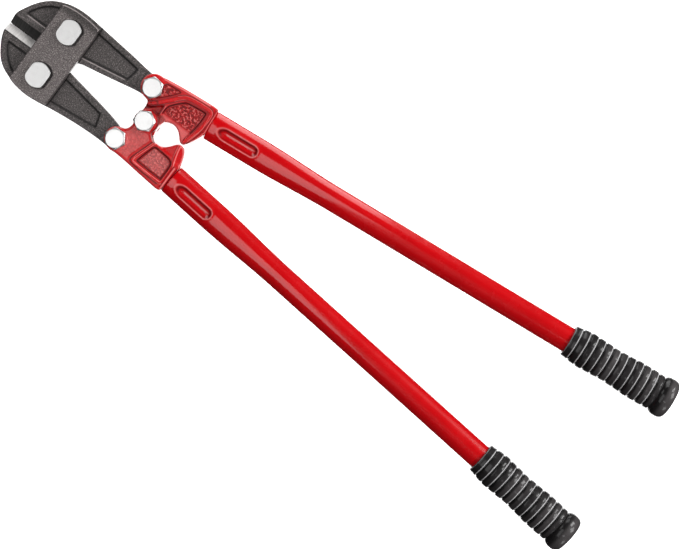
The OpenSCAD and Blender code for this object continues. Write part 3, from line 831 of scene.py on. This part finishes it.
def big_bolt(x, y, z):
    r = np.sqrt(x * x + y * y)
    head = rmax(rmax(r - 12.9, np.abs(x) - 10.8, 1.6), np.abs(z - 18.32) - 2.68, 0.55)
    shank = rmax(r - 7.97, np.abs(z + 2.4) - 18.4, 0.7)
    thread = r - 7.97 + 0.36 * (0.5 + 0.5 * np.sin(z * 2 * math.pi / 2 + np.arctan2(y, x)))
    return np.minimum(head, np.where(z < -17.4, np.maximum(shank, thread), shank))


def small(name, field, at, lo, hi, mat, body, h=0.5):
    pos, faces, nor = surface(field, lo, hi, h)
    pos = pos + [at[0], at[1], 0]
    make(name + "_piece", pos, faces, [mat], body, name, nor)


for n, at, body, t in (("upper_link", Q1, "upper_handle", -7), ("lower_link", Q2, "lower_handle", 4), ("centre", C, "lower_handle", 30)):
    small(n + "_bolt", hex_bolt(t), at, (-12, -12, -21), (12, 12, 21), BOLT, body, 0.4)
    small(n + "_nut", hex_nut(t * 3 + 11, 19, -20.55, -15.85, 6.0), at, (-12, -12, -21), (12, 12, -15), BOLT, body, 0.43)
    small(n + "_washer", washer(t * 5 + 40, 6.05, 9.6, -15.75, -14.05, True), at, (-11, -11, -16.4), (11, 11, -13.4), BOLT, body, 0.4)
for n, at in (("upper_jaw", P1), ("lower_jaw", P2)):
    small(n + "_bolt", big_bolt, at, (-14, -14, -21.4), (14, 14, 21.4), BIG_BOLT, "straps", 0.5)
    small(n + "_nut", hex_nut(30, 23, -21.0, -17.05, 8.02), at, (-15, -15, -21.6), (15, 15, -16.4), BOLT, "straps", 0.45)
    small(n + "_washer", washer(0, 8.02, 12.6, -16.98, -15.64, False), at, (-14, -14, -17.6), (14, 14, -15), BOLT, "straps", 0.45)

# ---------------------------------------------------------------- tubes


def rings(sections, side, closed=True):
    """Quads between a row of rings, the last joined back to the first."""
    m = sections[0].shape[0]
    pos = np.concatenate(sections)
    n = len(sections)
    i = np.arange(n if closed else n - 1)[:, None]
    j = np.arange(m)[None, :]
    a, b = i * m + j, i * m + (j + 1) % m
    c, d = ((i + 1) % n) * m + (j + 1) % m, ((i + 1) % n) * m + j
    return on_axis(pos, side), np.stack([a, b, c, d], -1).reshape(-1, 4)


def tube(side, end, groove_y):
    m = 144
    phi = np.arange(m) * 2 * math.pi / m
    out, shade, painted_highlight_lines = [], [], []
    st = np.concatenate([[54.55, 54.7, 55.1, 55.8], np.arange(57, 118, 0.6), np.arange(118, 205, 4), np.linspace(206, end, 60)])
    for s in st:
        k = ss((s - 110) / 90)
        w, hgt = 15.45 + (13.28 - 15.45) * k, 11.25 + (13.28 - 11.25) * k
        inset = {54.55: 0.9, 54.7: 0.5, 55.1: 0.15}.get(round(float(s), 2), 0.0)
        y, z = (w - inset) * np.cos(phi), (hgt - inset) * np.sin(phi)
        yy = y - groove_y
        cap = np.sqrt(np.maximum(np.maximum(74 - s, s - 103.5), 0) ** 2 * np.where(s < 74, 0.35, 1.0) + yy ** 2)
        dep = 3.1 * np.clip(1 - (cap / 5.9) ** 1.25, 0, 1) - 0.32 * np.exp(-((cap - 6.9) / 0.9) ** 2)
        top = np.sin(phi) > 0
        # Painted shade: darker dimple walls, on the upper face only.
        shade.append(np.exp(-((cap - 4.5) / 1.1) ** 2) * np.where(yy > -2.5, 1.0, 0.6) * top)
        # Painted highlight: a pale line down each dimple and round its rim, on the upper face only.
        line = 0.9 * np.exp(-((yy - 1.1) / 0.55) ** 2) * ss((s - 71) / 4) * ss((107 - s) / 3)
        painted_highlight_lines.append(np.maximum(line, 0.4 * np.exp(-((cap - 6.3) / 0.6) ** 2)) * top)
        face = ss((np.abs(np.sin(phi)) - 0.45) / 0.3)
        z = z - np.sign(z) * dep * face
        out.append(np.stack([np.full(m, s), y, z], 1))
    inner = []
    for s in np.concatenate([[54.55, 60, 66], np.arange(69, 112, 2.2), np.arange(112, 205, 12), [end]]):
        k = ss((s - 110) / 90)
        w, hgt = 13.05 + (10.88 - 13.05) * k, 8.85 + (10.88 - 8.85) * k
        y, z = w * np.cos(phi), hgt * np.sin(phi)
        yy = y - groove_y
        cap = np.sqrt(np.maximum(np.maximum(74 - s, s - 103.5), 0) ** 2 * np.where(s < 74, 0.35, 1.0) + yy ** 2)
        z = z - np.sign(z) * 2.5 * ss((6.6 - cap) / 3.6) * ss((np.abs(np.sin(phi)) - 0.45) / 0.3)
        inner.append(np.stack([np.full(m, s), y, z], 1))
    pos, faces = rings(out + inner[::-1], side)
    shade, painted_highlight_lines = np.concatenate(shade), np.concatenate(painted_highlight_lines)
    rest = np.zeros(len(pos) - len(shade))
    return pos, faces, {"dark": np.concatenate([shade, rest]), "painted_highlight_lines": np.concatenate([painted_highlight_lines, rest])}


for name, side, start, gy in (("upper", UPPER, 471.5, -1.4), ("lower", LOWER, 470.0, -2.2)):
    pos, faces, marks = tube(side, start + 112.1, gy)
    make(name + "_tube_body", pos, faces, [RED_TUBE], name + "_handle", name + "_tube", attrs=marks)

# ---------------------------------------------------------------- grips

G_T = [0, 3, 8, 19, 34, 49, 62, 76, 90, 98, 101.4]
G_R = [16.5, 16.8, 17.5, 18.7, 18.1, 17.3, 18.0, 18.9, 18.8, 18.4, 18.5]


def grip_base(t):
    i = max(k for k in range(len(G_T)) if G_T[k] <= t or k == 0)
    if i >= len(G_T) - 1:
        return G_R[-1]
    return G_R[i] + (G_R[i + 1] - G_R[i]) * float(ss((t - G_T[i]) / (G_T[i + 1] - G_T[i])))


def grip_profile():
    """Radius, place along the grip and how much of the lip's painted highlight it carries."""
    pts = [(13.35, 0.5, 0), (13.8, 0.12, 0), (14.6, 0.0, 0), (15.7, 0.0, 0), (16.2, 0.2, 0.1), (16.45, 0.7, 0.3)]
    step = 0.3
    for t in np.arange(1.1, 102.3, step):
        q = t - 7.9
        near = ((q + 4.36) % 8.72) - 4.36
        w = (q % 8.72) / 8.72
        on = -1.6 < q < 89
        crown = 0.45 * math.sin(math.pi * w) if 0 < q < 87.2 else (0.4 * math.sin(math.pi * (t - 95.1) / 7.0) if 95.1 < t < 102.1 else 0)
        groove = 1.15 * float(ss((1.2 - abs(near - 0.5)) / 0.9)) if on else 0
        groove = max(groove, 1.3 * float(ss((1.2 - abs(t - 102.3)) / 0.8)))
        lip = math.exp(-((near + 0.95) / 0.42) ** 2) if on else 0
        pts.append((grip_base(t) + crown - groove + 0.25 * lip, t, 0.85 * lip))
    pts += [(17.6, 102.7, 0), (18.4, 103.1, 0), (19.1, 103.8, 0), (19.9, 105.0, 0), (20.5, 106.4, 0), (20.85, 108, 0), (20.97, 109.6, 0), (20.98, 111.4, 0), (20.9, 113.2, 0),
            (20.6, 115.0, 0), (20.0, 116.6, 0), (19.1, 118.0, 0), (17.8, 119.0, 0), (15.6, 119.7, 0), (12, 119.9, 0), (6, 120.0, 0), (2.0, 120.0, 0)]
    pts += [(2.0, 112.25, 0), (8, 112.25, 0), (13.2, 112.25, 0), (13.32, 112.0, 0), (13.32, 80, 0), (13.32, 40, 0), (13.32, 2, 0)]
    return pts


def grip_painted_sheen(t):
    """Painted sheen: the greyer right half of each rib, strongest at the middle and near the end."""
    w = ((t - 7.9) % 8.72) / 8.72
    along = 0.1 + 0.8 * math.exp(-((t - 46) / 11) ** 2) + 0.7 * math.exp(-((t - 88) / 12) ** 2)
    if t > 102.3:
        return 1.0 * float(ss((t - 107) / 5))
    return min(1.0, along) * float(ss((w - 0.2) / 0.2))


def lathe(profile, side, start, m):
    phi = np.arange(m) * 2 * math.pi / m
    sec = [np.stack([np.full(m, start + t), r * np.cos(phi), r * np.sin(phi)], 1) for r, t, _ in profile]
    return sec


def grip(side, start):
    m = 96
    prof = grip_profile()
    k = [i for i, p in enumerate(prof) if p[:2] == (2.0, 120.0)][0]
    sec = lathe(prof, side, start, m)
    pos, faces = rings(sec, side)
    # open the ring at the end: the two small circles are closed with fans
    faces = faces.reshape(len(sec), m, 4)
    faces = np.delete(faces, k, 0).reshape(-1, 4).tolist()
    n = len(pos)
    off = on_axis(np.array([[start + 120.0, 0, 0], [start + 112.25, 0, 0]]), side)
    pos = np.concatenate([pos, off])
    for j in range(m):
        a, b = k * m + j, k * m + (j + 1) % m
        faces.append([a, b, n])
        a, b = (k + 1) * m + j, (k + 1) * m + (j + 1) % m
        faces.append([b, a, n + 1])
    # Per vertex: the pale lip colour (a painted highlight) and the greyer rib halves (a painted sheen).
    lip = np.concatenate([np.repeat([p[2] for p in prof], m), [0, 0]])
    painted_sheen = np.concatenate([np.repeat([grip_painted_sheen(p[1]) for p in prof], m), [0, 0]])
    return pos, faces, {"lip": lip, "painted_sheen": painted_sheen}


for name, side, start in (("upper", UPPER, 471.5), ("lower", LOWER, 470.0)):
    pos, faces, marks = grip(side, start)
    make(name + "_grip_body", pos, faces, [GRIP], name + "_handle", name + "_grip", attrs=marks)

# the tube and grip meshes get outward normals
import bmesh
for ob in [o for o in bpy.data.objects if o.type == "MESH" and o.name.endswith(("_tube_body", "_grip_body"))]:
    bm = bmesh.new()
    bm.from_mesh(ob.data)
    bmesh.ops.recalc_face_normals(bm, faces=bm.faces)
    bm.to_mesh(ob.data)
    bm.free()

# ---------------------------------------------------------------- stage, lights and camera


def plane(name, w, d, z, mat):
    me = bpy.data.meshes.new(name)
    me.from_pydata([(-w, -d, z), (w, -d, z), (w, d, z), (-w, d, z)], [], [(0, 1, 2, 3)])
    me.materials.append(mat)
    ob = bpy.data.objects.new(name, me)
    bpy.context.scene.collection.objects.link(ob)
    return ob


m, nt, b, vec = nodes_of("floor_white")
nt.links.new(ramp(nt, noise(nt, vec, 3, 2), [(0.3, (0.90, 0.90, 0.90)), (0.7, (0.93, 0.93, 0.93))]), b.inputs["Base Color"])
b.inputs["Roughness"].default_value = 0.9
b.inputs["Specular IOR Level"].default_value = 0.0
b.inputs["Emission Color"].default_value = (1, 1, 1, 1)
b.inputs["Emission Strength"].default_value = 0.95
floor = plane("floor", 9, 9, -0.0006, m)
floor.visible_glossy = floor.visible_diffuse = floor.visible_shadow = False


def area(name, at, target, sx, sy, power, colour=(1, 1, 1)):
    l = bpy.data.lights.new(name, "AREA")
    l.shape = "RECTANGLE"
    l.size, l.size_y = sx, sy
    l.energy = power
    l.color = colour
    o = bpy.data.objects.new(name, l)
    bpy.context.scene.collection.objects.link(o)
    from mathutils import Vector
    o.location = [at[0] - 0, at[1] - 0, at[2]]
    d = Vector(target) - Vector(at)
    o.rotation_euler = d.to_track_quat("-Z", "Y").to_euler()
    return o


# row-frame metres; +x runs to the grips
area("overhead_box", (-0.80, -0.85, 2.60), (-0.80, -0.85, 0.0), 1.66, 2.66, 33)
area("side_box", (-1.00, 2.2, 0.0), (-1.00, 0.0, 0.0), 1.7, 2.3, 46)
area("key", (2.6, 2.1, 2.5), (0.1, 0.0, 0.0), 1.9, 1.9, 116)
area("fill_front", (-2.6, 0.9, 1.9), (-0.1, 0.0, 0.0), 1.3, 1.3, 14)
area("fill_low", (2.7, -2.5, 1.6), (0.1, 0.0, 0.0), 1.4, 1.4, 36)
area("grip_side", (1.02, 2.2, 0.90), (0.33, 0.0, 0.0), 0.36, 1.3, 22)
area("grip_top", (0.86, -0.80, 2.40), (0.33, 0.0, 0.0), 0.34, 0.34, 1.8)
area("under_fill", (0.3, 0.2, -2.4), (0.0, 0.0, 0.0), 2.4, 2.0, 60)

w = bpy.data.worlds.new("studio")
w.use_nodes = True
bg = w.node_tree.nodes["Background"]
bg.inputs[0].default_value = (1, 1, 1, 1)
bg.inputs[1].default_value = 0.025
bpy.context.scene.world = w

cam = bpy.data.cameras.new("camera")
cam.sensor_width = 36
cam.lens = 111.3
cam.clip_start, cam.clip_end = 0.1, 50
co = bpy.data.objects.new("camera", cam)
bpy.context.scene.collection.objects.link(co)
co.location = ((246.2 + CX) / 1000, (-8.2 + CY) / 1000, CZ / 1000 + 2.100)
co.rotation_euler = (0, 0, math.radians(36.3))
bpy.context.scene.camera = co
bpy.context.scene.view_settings.view_transform = "Standard"
bpy.context.scene.view_settings.look = "None"
bpy.context.scene.view_settings.exposure = 0.0
